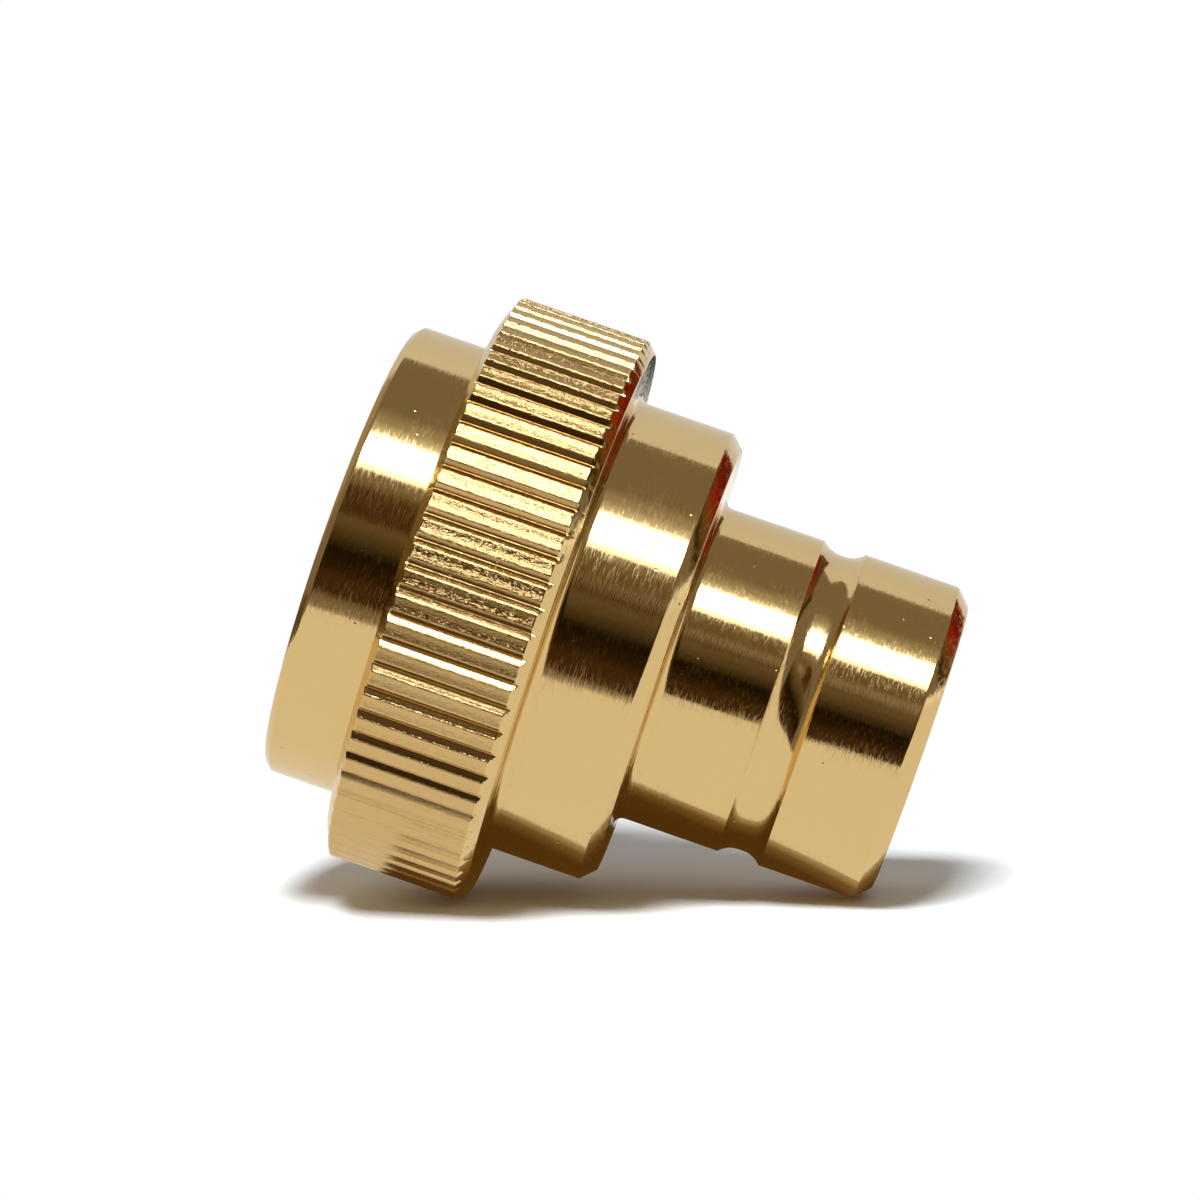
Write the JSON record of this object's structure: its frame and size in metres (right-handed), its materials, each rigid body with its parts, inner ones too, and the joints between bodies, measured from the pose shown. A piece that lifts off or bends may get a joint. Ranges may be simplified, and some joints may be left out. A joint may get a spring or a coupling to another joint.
{
  "type": "cnc turned part",
  "caption": "One-piece turned brass screw-on adapter: knurled grip ring, stepped shoulder and a grooved nose, with a threaded socket in the big end.",
  "frame": {"origin": "centre of the socket end face, on the turning axis; the body stands on that face", "axes": "+Z along the turning axis from the socket end up to the nose; the body is alike all round, and one groove of the knurl lies on +X"},
  "size_m": [0.038, 0.038, 0.0393],
  "materials": {
    "brass": "bright turned, fine tool marks round the axis"
  },
  "bodies": {
    "root": {"adapter_body": "brass"}
  },
  "joints": []
}
